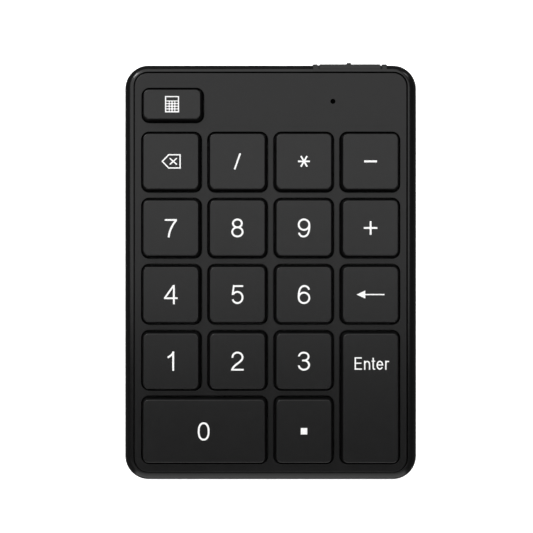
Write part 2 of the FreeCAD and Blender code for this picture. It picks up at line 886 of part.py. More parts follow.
def wedge(name, width, length, corner, floor, top_round=None, base_round=None):
    """A rounded block that hangs from the deck plane down to a floor parallel to the table."""
    body = new_body(name)
    rounded_slab(body, name + "_outline", width, length, corner, "-dims.case_depth", "dims.case_depth")
    if top_round:
        round_edges(body, name + "_rim", top_round, level(0))
    under = new_sketch(body, name + "_under", plane="YZ_Plane")
    reach = "dims.case_length"
    drop = "(%s - dims.deck_height) / cos(%s)" % (floor, TILT)
    slope = "%s * tan(%s)" % (reach, TILT)
    low = "-3 * dims.case_depth"
    corners = [("-" + reach, "%s + %s" % (drop, slope)), ("-" + reach, low)]
    corners += [(reach, low), (reach, "%s - %s" % (drop, slope))]
    add_polygon(under, corners)
    pocket(body, under, "2 * dims.case_width", middle=True)
    if base_round:
        angle = math.radians(size("deck_tilt"))
        depth = (number(body, floor) - size("deck_height")) / math.cos(angle)

        def on_floor(edge):
            points = [v.Point for v in edge.Vertexes]
            return all(abs(p.z - depth + p.y * math.tan(angle)) < 1e-3 for p in points)

        round_edges(body, name + "_base", base_round, on_floor)
    return body


def rear_boss(body):
    """The square-edged stretch of the rear rim that surrounds the power switch."""
    sketch = new_sketch(body, "rear_boss")
    left, right = around_switch("dims.boss_width / 2")
    front, rear = "dims.case_length / 2 - dims.boss_root", "dims.case_length / 2 - dims.boss_inset"
    add_polygon(sketch, [(left, front), (right, front), (right, rear), (left, rear)])
    pad(body, sketch, "dims.boss_depth", down=True)
    face, on_top = number(body, rear), level(0)

    def outer(edge):
        return on_top(edge) and abs(edge.CenterOfMass.y - face) < 1e-4

    round_edges(body, "boss_edge", "dims.boss_edge", outer)


def case_additions():
    """Screw towers, floor ribs, board bosses, cover rests and the battery bay's walls."""
    items = []
    deep = "-dims.case_depth"
    for n, (x, v) in enumerate(SCREWS):
        items.append(deck_cylinder("tower_%d" % n, x, v, deep, "-dims.post_depth - 0.05", "dims.tower_round"))
        items.append(deck_cylinder("tower_base_%d" % n, x, v, deep, "-dims.tower_step", "dims.tower_base"))
    board_under = "-dims.board_top - dims.board_thick"
    for n, (x, v) in enumerate(BOARD_SCREWS):
        items.append(deck_cylinder("board_boss_%d" % n, x, v, deep, board_under, "dims.tower_round"))
    for n, x in enumerate(COLUMN):
        across = ("%s - dims.rib_thick / 2" % x, "%s + dims.rib_thick / 2" % x)
        along = ("dims.rib_front", "dims.rib_rear")
        items.append(deck_box("floor_rib_%d" % n, across, along, (deep, "-dims.sheet_depth - dims.rib_drop")))
    inner = "dims.cover_width / 2 + dims.seam"
    depth = ("-dims.cover_skirt - dims.rest_depth", "-dims.cover_skirt")
    for n, v in enumerate(BETWEEN + [FRONT_GAP]):
        along = ("%s - dims.rest_length / 2" % v, "%s + dims.rest_length / 2" % v)
        left = ("-(%s) - dims.seam" % inner, "-(%s) + dims.rest_reach" % inner)
        right = ("%s - dims.rest_reach" % inner, "%s + dims.seam" % inner)
        items.append(deck_box("cover_rest_left_%d" % n, left, along, depth))
        items.append(deck_box("cover_rest_right_%d" % n, right, along, depth))

    left, right = "dims.bay_left", "dims.bay_right"
    front, rear = "dims.bay_front", "dims.bay_rear"
    ends = ("%s - dims.bay_wall" % left, "%s + dims.bay_wall" % right)
    floor = "dims.foot_height"
    low, high = (floor, "dims.bay_low_top"), (floor, "dims.bay_high_top")
    depth = ("%s - dims.bay_side_wall" % front, "%s + dims.bay_side_wall" % rear)
    items.append(row_box("bay_front_wall", ends, (depth[0], front), low))
    items.append(row_box("bay_rear_wall", ends, (rear, depth[1]), high))
    items.append(row_box("bay_left_wall", (ends[0], left), depth, low))
    items.append(row_box("bay_right_wall", (right, ends[1]), depth, low))
    return items


def case_cuts():
    """Screw holes, the battery hatch, foot recesses, and the power switch's notch and slot."""
    items = []
    for n, (x, v) in enumerate(SCREWS):
        clear = deck_cylinder("screw_hole_%d" % n, x, v, "-dims.case_depth", "0", "dims.screw_hole")
        well = ("-dims.case_depth", "-dims.screw_seat")
        items += [clear, deck_cylinder("counterbore_%d" % n, x, v, *well, "dims.counterbore")]
    for n, (x, v) in enumerate(BOARD_SCREWS):
        low = "-dims.board_top - dims.board_pilot_deep"
        items.append(deck_cylinder("board_pilot_%d" % n, x, v, low, "0", "dims.pilot_round"))
    inside = "dims.foot_height + dims.floor_thick"
    hatch_x = (HATCH_LEFT, HATCH_RIGHT)
    hatch_y = ("dims.hatch_front", "dims.hatch_rear")
    items.append(row_box("hatch", hatch_x, hatch_y, ("0", inside + " + dims.floor_thick / 2")))
    for n, x in enumerate(TABS):
        half = "dims.tab_width / 2 + dims.window_slack"
        window_x = ("%s - (%s)" % (x, half), "%s + (%s)" % (x, half))
        window_y = ("dims.bay_front - 2 * dims.bay_side_wall", "dims.bay_front + dims.window_slack")
        window_z = (inside, inside + " + dims.window_height")
        items.append(row_box("tab_window_%d" % n, window_x, window_y, window_z))
    for n, (x, y) in enumerate(feet_places()):
        recess = foot_block("foot_recess_%d" % n, "dims.foot_recess", gap="dims.foot_slack")
        place_in_row(recess, x, y, "dims.foot_height")
        items.append(recess)
    behind = "dims.case_length / 2 + 2"
    notch_x = around_switch("dims.notch_width / 2")
    items.append(deck_box("notch", notch_x, ("dims.notch_floor", behind), ("-dims.notch_depth", "1")))
    slot_x, slot_w = around_switch("dims.slot_half"), at_switch("dims.slot_high")
    slot_front = "dims.case_length / 2 - dims.slot_root"
    items.append(deck_box("knob_slot", slot_x, (slot_front, behind), slot_w))
    return items


def bottom_case():
    """The tray that carries everything: walls, sloping rim, floor, towers and battery bay."""
    outside = wedge(
        "case_outside",
        "dims.case_width",
        "dims.case_length",
        "dims.case_corner",
        "dims.foot_height",
        top_round="dims.rim_round",
        base_round="dims.base_round",
    )
    rear_boss(outside)
    cavity = wedge(
        "case_cavity",
        "dims.cover_width + 2 * dims.seam",
        "dims.cover_length + 2 * dims.seam",
        "dims.cover_corner + dims.seam",
        "dims.foot_height + dims.floor_thick",
    )
    place_on_deck(outside)
    place_on_deck(cavity, "0", "dims.seam_shift")
    tray = cut("case_tray", outside, cavity)
    kept = common("case_kept", fuse("case_additions", case_additions()), outside)
    filled = fuse("case_filled", [tray, kept])
    case = cut("bottom_case", filled, fuse("case_cuts", case_cuts()))
    return name_part(case, "bottom_case")


# ---------------------------------------------------------------- underside pieces


def feet_places():
    return [(x, y) for y in ("dims.foot_front", "dims.foot_rear") for x in ("-dims.foot_x", "dims.foot_x")]


def foot_block(name, height, gap="0"):
    """An oblong pad with fully rounded ends, standing on its own origin."""
    body = new_body(name)
    sketch = new_sketch(body, name + "_outline")
    add_rectangle(sketch, "0", "0", "dims.foot_length + 2 * %s" % gap, "dims.foot_width + 2 * %s" % gap)
    pad(body, sketch, height)
    round_edges(body, name + "_ends", "dims.foot_width / 2 - 0.05", upright)
    return body


def rubber_feet():
    names = ("foot_front_left", "foot_front_right", "foot_rear_left", "foot_rear_right")
    for name, (x, y) in zip(names, feet_places()):
        foot = foot_block(name, "dims.foot_height + dims.foot_recess")
        round_edges(foot, name + "_edge", "dims.foot_edge", level(0))
        place_in_row(foot, x, y)
        name_part(foot, name)


def case_screws():
    """Five identical pan-head screws that come up from the underside, as one group."""
    screws = []
    for n, (x, v) in enumerate(SCREWS):
        shank = ("-dims.screw_seat - 0.3", "-dims.screw_seat + dims.screw_reach")
        head = ("-dims.screw_seat - dims.screw_head_thick", "-dims.screw_seat")
        shaft = deck_cylinder("case_shaft_%d" % n, x, v, *shank, "dims.screw_round")
        cap = deck_cylinder("case_head_%d" % n, x, v, *head, "dims.screw_head")
        under = "-dims.screw_seat - dims.screw_head_thick"
        cross = cross_recess("case_cross_%d" % n, x, v, (under, "%s + dims.cross_depth" % under))
        screws.append(cut("case_screw_%d" % n, fuse("case_blank_%d" % n, [shaft, cap]), cross))
    return name_part(fuse("case_screws", screws), "case_screws")


def cross_recess(name, x, v, limits):
    """The cross-shaped driver recess of a screw head."""
    bars = []
    long, short = "dims.cross_reach", "dims.cross_half"
    for turn, (wide, tall) in enumerate(((long, short), (short, long))):
        across = ("%s - %s" % (x, wide), "%s + %s" % (x, wide))
        along = ("%s - %s" % (v, tall), "%s + %s" % (v, tall))
        bars.append(deck_box("%s_bar_%d" % (name, turn), across, along, limits))
    return fuse(name, bars)


def battery_door():
    """A flush door with a rounded hinge edge, two tabs behind the case floor and a latch tongue."""
    body = new_body("battery_door")
    across = "%s - (%s) - 2 * dims.hatch_gap" % (HATCH_RIGHT, HATCH_LEFT)
    half = "dims.door_thick / 2"
    reach = "dims.hatch_rear - dims.hatch_front - 2 * dims.hatch_gap - %s" % half
    edge = new_sketch(body, "door_edge", plane="YZ_Plane")
    add_circle(edge, "0", "0", half)
    pad(body, edge, across, middle=True)
    panel = new_sketch(body, "door_panel", plane="YZ_Plane")
    add_polygon(panel, [("0", "-" + half), (reach, "-" + half), (reach, half), ("0", half)])
    pad(body, panel, across, middle=True)

    for n, place in enumerate(("-dims.tab_spread", "dims.tab_spread")):
        tab = new_sketch(body, "door_tab_%d" % n, place, plane="YZ_Plane")
        corners = [("dims.tab_step", half + " / 2"), ("dims.tab_root", half + " / 2")]
        corners += [("dims.tab_root", "dims.tab_high"), ("-dims.tab_reach", "dims.tab_high")]
        corners += [("-dims.tab_reach", "dims.tab_low"), ("dims.tab_step", "dims.tab_low")]
        add_polygon(tab, corners)
        pad(body, tab, "dims.tab_width", middle=True)

    grip = new_sketch(body, "door_grip", "-" + half)
    for step in range(5):
        line = "%s - dims.grip_inset - %d * dims.grip_pitch" % (reach, step)
        add_rectangle(grip, "0", line, "dims.grip_width", "dims.grip_bar")
    pocket(body, grip, "dims.grip_depth", up=True)
    tongue = new_sketch(body, "door_tongue", half)
    for side in ("-dims.tongue_half", "dims.tongue_half"):
        line = "%s - dims.tongue_inset" % reach
        add_rectangle(tongue, side, line, "dims.tongue_slit", "dims.tongue_length")
    pocket(body, tongue, "dims.door_thick")
    hinge_y = "dims.hatch_front + dims.hatch_gap + %s" % half
    place_in_row(body, HATCH_MIDDLE, hinge_y, "dims.foot_height + %s" % half)
    return name_part(body, "battery_door")


# ---------------------------------------------------------------- battery and contacts


def battery_cell():
    """One small cylindrical cell lying across the rear, with its raised terminal to the right."""
    body = new_body("battery_cell")
    shell = new_sketch(body, "cell_shell", plane="YZ_Plane")
    add_circle(shell, "0", "0", "dims.cell_round")
    pad(body, shell, "dims.cell_body")
    round_edges(body, "cell_rims", "dims.cell_edge", lambda e: e.Curve.TypeId == "Part::GeomCircle")
    nub = new_sketch(body, "cell_nub", "dims.cell_body", plane="YZ_Plane")
    add_circle(nub, "0", "0", "dims.cell_nub_round")
    pad(body, nub, "dims.cell_nub")
    place_in_row(body, "dims.cell_start", "dims.cell_y", "dims.cell_z")
    return name_part(body, "battery_cell")


def battery_contacts():
    """A bent leaf spring at the flat end of the cell and a plate at its raised end."""
    leaf = new_body("battery_contact_leaf")
    bend = new_sketch(leaf, "leaf_profile", plane="XZ_Plane")
    tip = "dims.cell_start - dims.bay_left - 3 * dims.contact_slack"
    half, gauge = "dims.leaf_half", "dims.leaf_thick"
    corners = [("0", "-" + half), (gauge, "-" + half), (gauge, "%s - 1.3 * %s" % (half, gauge))]
    kink = "-dims.leaf_kink"
    corners += [("%s - %s" % (tip, gauge), "0"), ("%s - 4 * %s" % (tip, gauge), kink)]
    corners += [("%s - 3 * %s" % (tip, gauge), "%s - %s / 2" % (kink, gauge)), (tip, "0")]
    corners += [(gauge, half), ("0", half)]
    add_polygon(bend, corners)
    pad(leaf, bend, "dims.leaf_width", middle=True)
    place_in_row(leaf, "dims.bay_left + dims.contact_slack", "dims.cell_y", "dims.cell_z")
    name_part(leaf, "battery_contact_leaf")

    plate = new_body("battery_contact_plate")
    side = "dims.plate_side"
    rounded_slab(plate, "contact_plate", side, side, "dims.plate_corner", "0", "dims.plate_gauge")
    plate.Placement = Placement(Vector(), Rotation(Vector(0, 1, 0), 90))
    end = "dims.cell_start + dims.cell_body + dims.cell_nub + dims.contact_slack"
    place_in_row(plate, end, "dims.cell_y", "dims.cell_z")
    name_part(plate, "battery_contact_plate")


# ---------------------------------------------------------------- circuit board


def circuit_board():
    """The rear circuit board with its chip, crystal, lamp, film connector and screws."""
    board = new_body("circuit_board")
    outline = new_sketch(board, "board_outline", "-dims.board_top - dims.board_thick")
    left, right = "dims.board_left", "dims.board_right"
    front, rear = "dims.board_front", "dims.board_rear"
    add_polygon(outline, [(left, front), (right, front), (right, rear), (left, rear)])
    pad(board, outline, "dims.board_thick")
    for name, radius, side in (
        ("board_right_corners", "dims.board_corner", number(board, right)),
        ("board_left_corners", "dims.board_left_corner", number(board, left)),
    ):
        round_edges(board, name, radius, lambda e: upright(e) and abs(e.CenterOfMass.x - side) < 1e-4)
    holes = new_sketch(board, "board_holes", "-dims.board_top")
    for x, v in BOARD_SCREWS:
        add_circle(holes, x, v, "dims.screw_hole")
    pocket(board, holes, "dims.board_thick")
    place_on_deck(board)
    name_part(board, "circuit_board")

    top = "-dims.board_top"

    def mounted(name, left, front, length, width, thick):
        """A block that stands on the board."""
        across = (left, "%s + %s" % (left, length))
        along = (front, "%s + %s" % (front, width))
        name_part(deck_box(name, across, along, (top, "%s + %s" % (top, thick))), name)

    side = "dims.chip_side"
    mounted("radio_chip", "dims.chip_left", "dims.chip_front", side, side, "dims.chip_thick")
    can = ("dims.can_length", "dims.can_width", "dims.can_thick")
    mounted("crystal", "dims.can_left", "dims.can_front", *can)
    lamp_left = "dims.lamp_x - dims.led_length / 2"
    lamp_front = "dims.lamp_v - dims.led_width / 2"
    mounted("status_led", lamp_left, lamp_front, "dims.led_length", "dims.led_width", "dims.led_thick")
    lamp = ("dims.lamp_x", "dims.lamp_v", "-dims.pipe_foot", "-dims.pipe_top", "dims.lamp_round")
    name_part(deck_cylinder("light_pipe", *lamp), "light_pipe")

    under = "-dims.board_top - dims.board_thick"
    socket_x = ("dims.board_left", "dims.board_left + dims.socket_width")
    socket_v = ("dims.tail_front - dims.socket_margin", "dims.tail_rear + dims.socket_margin")
    film_top = "-dims.sheet_depth - 2 * dims.film_thick"
    name_part(deck_box("film_connector", socket_x, socket_v, (film_top, under)), "film_connector")

    screws = []
    for n, (x, v) in enumerate(BOARD_SCREWS):
        head = (top, "%s + dims.pcb_head_thick" % top)
        deep = "-dims.board_top - dims.board_screw_deep"
        shaft = deck_cylinder("board_shaft_%d" % n, x, v, deep, head[1], "dims.screw_round")
        cap = deck_cylinder("board_head_%d" % n, x, v, *head, "dims.pcb_head")
        cross = cross_recess("board_cross_%d" % n, x, v, ("%s - dims.pcb_head_thick / 2" % head[1], head[1]))
        screws.append(cut("board_screw_%d" % n, fuse("board_blank_%d" % n, [shaft, cap]), cross))
    name_part(fuse("board_screws", screws), "board_screws")


# ---------------------------------------------------------------- power switch


def power_switch():
    """The slide switch under the board with its lever."""
    under = "-dims.board_top - dims.board_thick"
    across, along = around_switch("dims.switch_half"), ("dims.switch_front", "dims.switch_rear")
    housing = deck_box("switch_housing", across, along, ("%s - dims.switch_thick" % under, under))
    name_part(housing, "slide_switch_body")
    along = ("dims.switch_rear", "dims.notch_floor + dims.lever_reach")
    lever = deck_box("switch_lever", around_switch("dims.lever_half"), along, at_switch("dims.lever_high"))
    name_part(lever, "slide_switch_lever")


def switch_bezel():
    """The plate that fills the notch behind the knob, grooved along both of its upper ends."""
    body = new_body("switch_bezel")
    outline = new_sketch(body, "bezel_outline", "-dims.bezel_height")
    near = "dims.notch_floor + dims.bezel_slack"
    width = "dims.notch_width - 2 * dims.bezel_slack"
    add_rectangle(outline, "dims.switch_x", "(%s + %s) / 2" % (near, BEZEL_FACE), width, "dims.bezel_thick")
    pad(body, outline, "dims.bezel_height")
    outer = number(body, BEZEL_FACE)
    round_edges(body, "bezel_edges", "dims.bezel_edge", lambda e: abs(e.CenterOfMass.y - outer) < 1e-4)
    grooves = new_sketch(body, "bezel_grooves")
    for end in ("-", "+"):
        x = "dims.switch_x %s (%s - dims.bezel_groove) / 2" % (end, width)
        add_rectangle(grooves, x, near, "dims.bezel_groove", "4 * dims.bezel_thick")
    pocket(body, grooves, "dims.groove_depth")
    opening = new_sketch(body, "bezel_opening", "-(%s) - 0.5" % BEZEL_FACE, plane="XZ_Plane")
    add_rectangle(opening, "dims.switch_x", "dims.switch_w", "dims.opening_width", "dims.opening_height")
    pocket(body, opening, "2 * dims.bezel_thick", up=True)
    place_on_deck(body)
    return name_part(body, "switch_bezel")


def power_slider():
    """The knob: a ridged face over a stem, a flange behind the case wall and a fork for the lever."""
    behind = "dims.notch_floor - dims.flange_depth"
    stem_x, stem_w = around_switch("dims.stem_half"), at_switch("dims.stem_high")
    stem = deck_box("knob_stem", stem_x, (behind, BEZEL_FACE), stem_w)
    flange_v = (behind, "dims.notch_floor - dims.flange_slack")
    flange_x, flange_w = around_switch("dims.flange_half"), at_switch("dims.flange_high")
    flange = deck_box("knob_flange", flange_x, flange_v, flange_w)

    cap = new_body("knob_cap")
    profile = new_sketch(cap, "knob_profile", "dims.switch_w - dims.knob_high")
    skin = "%s + dims.knob_skin" % BEZEL_FACE
    edge = "%s + dims.knob_edge" % skin
    proud = "%s + dims.knob_proud" % BEZEL_FACE
    crest = "%s + dims.ridge_proud" % proud
    left, right = around_switch("dims.knob_width / 2")
    slope_left, slope_right = around_switch("dims.knob_shoulder")
    ridge_left, ridge_right = around_switch("dims.ridge_half")
    corners = [(left, skin), (right, skin), (right, edge), (slope_right, proud)]
    corners += [(ridge_right, proud), (ridge_right, crest), (ridge_left, crest), (ridge_left, proud)]
    corners += [(slope_left, proud), (left, edge)]
    add_polygon(profile, corners)
    pad(cap, profile, "2 * dims.knob_high")
    place_on_deck(cap)
    bridge = deck_box("knob_bridge", stem_x, ("%s - dims.knob_edge" % BEZEL_FACE, edge), stem_w)

    blank = fuse("knob_blank", [stem, flange, bridge, cap])
    fork_v = ("%s - 1" % behind, "dims.notch_floor + dims.fork_reach")
    fork = deck_box("knob_fork", around_switch("dims.fork_half"), fork_v, at_switch("dims.fork_high"))
    return name_part(cut("power_slider", blank, fork), "power_slider")


# ---------------------------------------------------------------- build, check and write


def check_and_write():
    document.recompute()
    for item in document.Objects:
        if "Invalid" in item.State or "Error" in item.State:
            raise RuntimeError("%s failed: %s" % (item.Name, item.State))
    os.makedirs("parts", exist_ok=True)
    for item in parts:
        if item.Shape.isNull() or not item.Shape.isValid():
            raise RuntimeError("%s has no valid shape" % item.Label)
    for item in parts:
        item.Shape.exportStep(os.path.join("parts", item.Label + ".step"))
    print("%d sub-parts written" % len(parts))


for key in KEYS:
    keycap(*key)
top_cover()
key_guide_plate()
dome_sheet()
membranes_and_plate()
stabiliser("stabilizer_enter", "key_enter", True)
stabiliser("stabilizer_zero", "key_0", False)
bottom_case()
rubber_feet()
case_screws()
battery_door()
battery_cell()
battery_contacts()
circuit_board()
power_switch()
switch_bezel()
power_slider()
check_and_write()
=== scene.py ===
import json
import math

import bmesh
import bpy
from mathutils import Matrix, Vector
from mathutils.geometry import delaunay_2d_cdt


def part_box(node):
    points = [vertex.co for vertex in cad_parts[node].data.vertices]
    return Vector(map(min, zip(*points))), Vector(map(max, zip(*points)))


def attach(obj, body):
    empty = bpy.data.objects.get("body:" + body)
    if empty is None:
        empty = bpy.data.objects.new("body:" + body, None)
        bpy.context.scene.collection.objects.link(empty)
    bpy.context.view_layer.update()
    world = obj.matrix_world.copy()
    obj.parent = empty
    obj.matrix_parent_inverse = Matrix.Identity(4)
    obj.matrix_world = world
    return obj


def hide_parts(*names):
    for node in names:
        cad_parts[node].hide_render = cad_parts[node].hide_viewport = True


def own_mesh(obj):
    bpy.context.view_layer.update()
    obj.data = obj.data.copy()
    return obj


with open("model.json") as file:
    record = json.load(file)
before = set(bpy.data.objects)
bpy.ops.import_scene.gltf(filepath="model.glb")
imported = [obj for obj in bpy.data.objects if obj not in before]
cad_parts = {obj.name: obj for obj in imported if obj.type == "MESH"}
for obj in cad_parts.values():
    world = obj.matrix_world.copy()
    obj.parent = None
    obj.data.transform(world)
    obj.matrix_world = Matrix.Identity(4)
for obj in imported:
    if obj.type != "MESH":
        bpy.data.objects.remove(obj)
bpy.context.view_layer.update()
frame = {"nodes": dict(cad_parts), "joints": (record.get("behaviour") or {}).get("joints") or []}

MM = 0.001

# ---------------------------------------------------------------- the deck's own frame
# Keys travel square to the deck, so a key's slide axis gives the slope of the deck.

NODES = frame["nodes"]
KEY_NAMES = [j["child"] for j in frame["joints"] if j["name"].endswith("_press")]
PRESS = next(j for j in frame["joints"] if j["name"] == "key_5_press")
OUT = -Vector(PRESS["axis"]).normalized()
RIGHT = Vector((1, 0, 0))
UP = OUT.cross(RIGHT)
DECK_AXES = Matrix((RIGHT, UP, OUT))


def deck_box(node):
    """Lowest and highest corner of a CAD node, measured along the deck's own three axes."""
    points = [DECK_AXES @ v.co for v in NODES[node].data.vertices]
    low = Vector([min(p[i] for p in points) for i in range(3)])
    high = Vector([max(p[i] for p in points) for i in range(3)])
    return low, high


def deck_place(x, v, w):
    """The transform that puts a flat drawing onto the deck frame's point (x, v, w)."""
    turn = DECK_AXES.transposed().to_4x4()
    return Matrix.Translation(DECK_AXES.transposed() @ Vector((x, v, w))) @ turn


COVER_LOW, COVER_HIGH = deck_box("top_cover")
DECK_CENTRE = (COVER_LOW + COVER_HIGH) / 2
DECK_LEVEL = COVER_HIGH.z

# ---------------------------------------------------------------- node helpers


class Shader:
    """A small builder for one procedural material."""

    def __init__(self, name):
        self.material = bpy.data.materials.new(name)
        self.material.use_nodes = True
        self.tree = self.material.node_tree
        self.tree.nodes.clear()
        self.output = self.tree.nodes.new("ShaderNodeOutputMaterial")
        self.surface = self.tree.nodes.new("ShaderNodeBsdfPrincipled")
        self.tree.links.new(self.surface.outputs["BSDF"], self.output.inputs["Surface"])
        self.place = self.tree.nodes.new("ShaderNodeTexCoord")

    def set(self, **values):
        """Give sockets constant values; an underscore stands for a space in the name."""
        for name, value in values.items():
            self.surface.inputs[name.replace("_", " ")].default_value = value
        return self

    def link(self, source, target):
        self.tree.links.new(source, target)

    def noise(self, scale, detail=2.0, rough=0.5):
        """Noise in the object's own space; scale is in waves per metre."""
        node = self.tree.nodes.new("ShaderNodeTexNoise")
        node.inputs["Scale"].default_value = scale
        node.inputs["Detail"].default_value = detail
        node.inputs["Roughness"].default_value = rough
        self.link(self.place.outputs["Object"], node.inputs["Vector"])
        return node.outputs["Fac"]

    def ramp(self, value, *stops):
        """Turn a value into colours: stops are (position, colour)."""
        node = self.tree.nodes.new("ShaderNodeValToRGB")
        elements = node.color_ramp.elements
        while len(elements) < len(stops):
            elements.new(0.5)
        for element, (position, colour) in zip(elements, stops):
            element.position = position
            element.color = colour if len(colour) == 4 else (*colour, 1)
        self.link(value, node.inputs["Fac"])
        return node.outputs["Color"]

    def range(self, value, low, high):
        """Map a value from 0..1 to low..high."""
        node = self.tree.nodes.new("ShaderNodeMapRange")
        node.inputs["To Min"].default_value = low
        node.inputs["To Max"].default_value = high
        self.link(value, node.inputs["Value"])
        return node.outputs["Result"]

    def bump(self, height, strength, depth):
        """Add a relief of some depth in metres on top of any relief already there."""
        node = self.tree.nodes.new("ShaderNodeBump")
        node.inputs["Strength"].default_value = strength
        node.inputs["Distance"].default_value = depth
        self.link(height, node.inputs["Height"])
        before = self.surface.inputs["Normal"]
        if before.is_linked:
            self.link(before.links[0].from_socket, node.inputs["Normal"])
        self.link(node.outputs["Normal"], before)

    def colour(self, socket):
        self.link(socket, self.surface.inputs["Base Color"])

    def rough(self, socket):
        self.link(socket, self.surface.inputs["Roughness"])


def grey(value, tint=1.03):
    """A grey with a trace of blue."""
    return (value, value, value * tint)


def plastic(name, shade, rough, grain=1.0, specular=0.31, spread=0.12):
    """Moulded plastic: fine spark-eroded grain, slight cloudiness and uneven sheen."""
    made = Shader(name).set(Specular_IOR_Level=specular)
    cloud = made.noise(60, 3)
    low, high = grey(shade * (1 - spread)), grey(shade * (1 + spread))
    made.colour(made.ramp(cloud, (0.3, low), (0.7, high)))
    made.rough(made.range(made.noise(420, 4, 0.6), rough - 0.05, rough + 0.05))
    made.bump(made.noise(9000, 2, 0.6), 0.35 * grain, 0.00002)
    made.bump(made.noise(2600, 2, 0.5), 0.18 * grain, 0.00003)
    return made.material


def metal(name, shade, rough, tint=(1, 1, 1)):
    """Plated or drawn metal with fine streaks and patches of duller finish."""
    made = Shader(name).set(Metallic=1.0)
    patch = made.noise(300, 4, 0.6)
    low, high = [shade * 0.86 * t for t in tint], [shade * 1.05 * t for t in tint]
    made.colour(made.ramp(patch, (0.3, low), (0.7, high)))
    made.rough(made.range(made.noise(1400, 3, 0.6), rough - 0.07, rough + 0.08))
    made.bump(made.noise(5200, 2, 0.6), 0.15, 0.00001)
    return made.material


def rubber(name, shade, rough, tint=(1, 1, 1), weight=0.0):
    """Soft matt rubber; weight is how far light soaks into it."""
    made = Shader(name).set(Specular_IOR_Level=0.3, Subsurface_Weight=weight)
    cloud = made.noise(220, 3)
    low, high = [shade * 0.88 * t for t in tint], [shade * 1.08 * t for t in tint]
    made.colour(made.ramp(cloud, (0.3, low), (0.7, high)))
    made.rough(made.range(made.noise(900, 3), rough - 0.06, rough + 0.06))
    made.bump(made.noise(6000, 2), 0.3, 0.00002)
    return made.material


def paint(node, material):
    """Give a CAD node a better material in all of its slots."""
    slots = NODES[node].material_slots
    for slot in slots:
        slot.material = material
    if not slots:
        NODES[node].data.materials.append(material)


# ---------------------------------------------------------------- camera, floor and light
# The camera looks square onto the deck from straight above its middle.

VIEW_DISTANCE = 0.275
VIEW_WIDTH = 0.1533
VIEW_RIGHT = -0.0012
VIEW_UP = 0.0017
FLOOR_HALF = 3.0
WORLD_GLOW = 0.13


def make_camera():
    """A lens that shows VIEW_WIDTH of the deck's top from VIEW_DISTANCE above it."""
    data = bpy.data.cameras.new("view")
    data.sensor_width = 36
    data.lens = data.sensor_width * VIEW_DISTANCE / VIEW_WIDTH
    camera = bpy.data.objects.new("view", data)
    bpy.context.scene.collection.objects.link(camera)
    spot = (DECK_CENTRE.x + VIEW_RIGHT, DECK_CENTRE.y + VIEW_UP, DECK_LEVEL + VIEW_DISTANCE)
    camera.matrix_world = deck_place(*spot)
    bpy.context.scene.camera = camera


def make_floor():
    """A white sheet that glows a little, so that it stays pure white with hardly a shadow."""
    made = Shader("floor_white").set(Specular_IOR_Level=0.2, Roughness=0.8, Emission_Strength=0.75)
    white = made.ramp(made.noise(3, 2), (0.3, (0.93, 0.93, 0.93)), (0.7, (0.95, 0.95, 0.95)))
    made.colour(white)
    made.link(white, made.surface.inputs["Emission Color"])
    mesh = bpy.data.meshes.new("floor")
    half = FLOOR_HALF
    corners = [(-half, -half, 0), (half, -half, 0), (half, half, 0), (-half, half, 0)]
    mesh.from_pydata(corners, [], [(0, 1, 2, 3)])
    mesh.materials.append(made.material)
    floor = bpy.data.objects.new("floor", mesh)
    bpy.context.scene.collection.objects.link(floor)
    floor.visible_glossy = False


def panel(name, place, facing, width, height, glow):
    """An even rectangular light of a given brightness, whatever its size."""
    data = bpy.data.lights.new(name, "AREA")
    data.shape = "RECTANGLE"
    data.size = width
    data.size_y = height
    data.energy = glow * width * height * math.pi
    light = bpy.data.objects.new(name, data)
    bpy.context.scene.collection.objects.link(light)
    turn = Vector(facing).to_track_quat("-Z", "Y").to_matrix().to_4x4()
    light.matrix_world = Matrix.Translation(place) @ turn


def make_light():
    """A dim white room, the overhead box, two fills in front and two cards at the rear corners."""
    world = bpy.data.worlds.new("studio")
    world.use_nodes = True
    background = world.node_tree.nodes["Background"]
    background.inputs["Color"].default_value = (1, 1, 1, 1)
    background.inputs["Strength"].default_value = WORLD_GLOW
    bpy.context.scene.world = world
    # the overhead box hangs towards the rear; its front edge fades across the lower keys
    above = 0.9
    near, far, left, right = -0.15, 1.9, -1.15, 0.55
    middle, width, down = (left + right) / 2, right - left, (0, 0, -1)
    panel("overhead", (middle, (near + far) / 2, above), down, width, far - near, glow=1.7)
    panel("front_fill", (middle, -0.70, above), down, width, 0.5, glow=0.4)
    panel("front_card", (0, -0.95, 0.25), (0, 1, 0), 1.4, 1.2, glow=1.4)
    for name, place, width, height, glow in (
        ("rear_left_card", (-0.55, 0.62, 0.62), 0.16, 0.16, 34.0),
        ("rear_right_card", (0.62, 0.7, 0.5), 0.2, 0.16, 7.0),
    ):
        panel(name, place, [-p for p in place], width, height, glow)
    scene = bpy.context.scene
    scene.view_settings.view_transform = "Standard"
    scene.view_settings.look = "None"


# ---------------------------------------------------------------- printed legends
# Each legend is drawn in millimetres about the middle of its keycap, as strokes of even width
# whose overlapping outlines are merged into one thin raised print.

INK_DEPTH = 0.03
INK_RISE = 0.02
DIGIT_STROKE = 0.53
WORD_STROKE = 0.38
SIGN_STROKE = 0.52
WORD_SQUEEZE = 0.97
WORD_SHIFT = 0.33
WORD_UP = 9.93
CURVE_STEPS = 20


def arc(x, y, rx, ry, start, end, steps=2 * CURVE_STEPS):
    """Points on an ellipse about (x, y), from one angle to another in degrees."""
    turn = [math.radians(start + (end - start) * i / steps) for i in range(steps + 1)]
    return [(x + rx * math.cos(t), y + ry * math.sin(t)) for t in turn]


